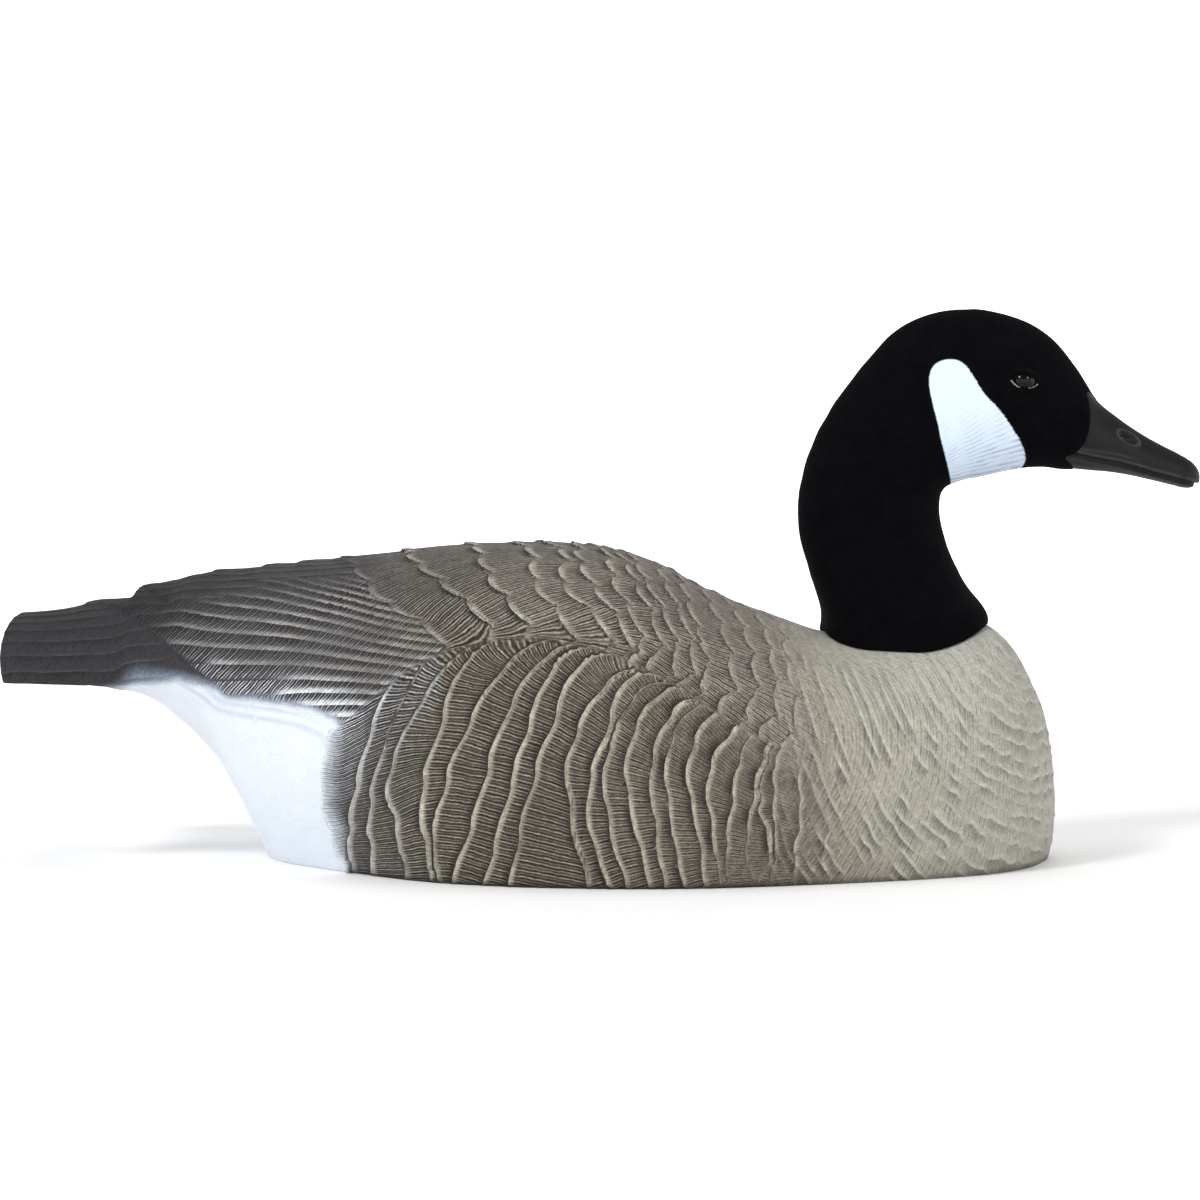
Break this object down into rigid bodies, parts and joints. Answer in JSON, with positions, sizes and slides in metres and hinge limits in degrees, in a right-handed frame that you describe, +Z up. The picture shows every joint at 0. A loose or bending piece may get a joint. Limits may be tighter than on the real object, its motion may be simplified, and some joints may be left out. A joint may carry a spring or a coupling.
{
  "type": "goose decoy",
  "caption": "Life-size goose decoy: a thin carved-feather body shell, open underneath, with a flocked black head and neck, white cheek patches and glossy eyes.",
  "frame": {"origin": "under the middle of the whole decoy, level with the rim that it stands on", "axes": "+X towards the bill, +Y towards the decoy's left side, +Z up"},
  "size_m": [0.6504, 0.2706, 0.3016],
  "materials": {
    "painted_shell": "moulded plastic, airbrushed matt in brown, buff, white and charcoal",
    "flocked_head": "short black flocking, with a white cheek patch and a matt dark grey bill",
    "eye_gloss": "polished dark brown"
  },
  "bodies": {
    "root": {"body_shell": "painted_shell", "head_and_neck": "flocked_head", "eye_left": "eye_gloss", "eye_right": "eye_gloss"}
  },
  "joints": []
}
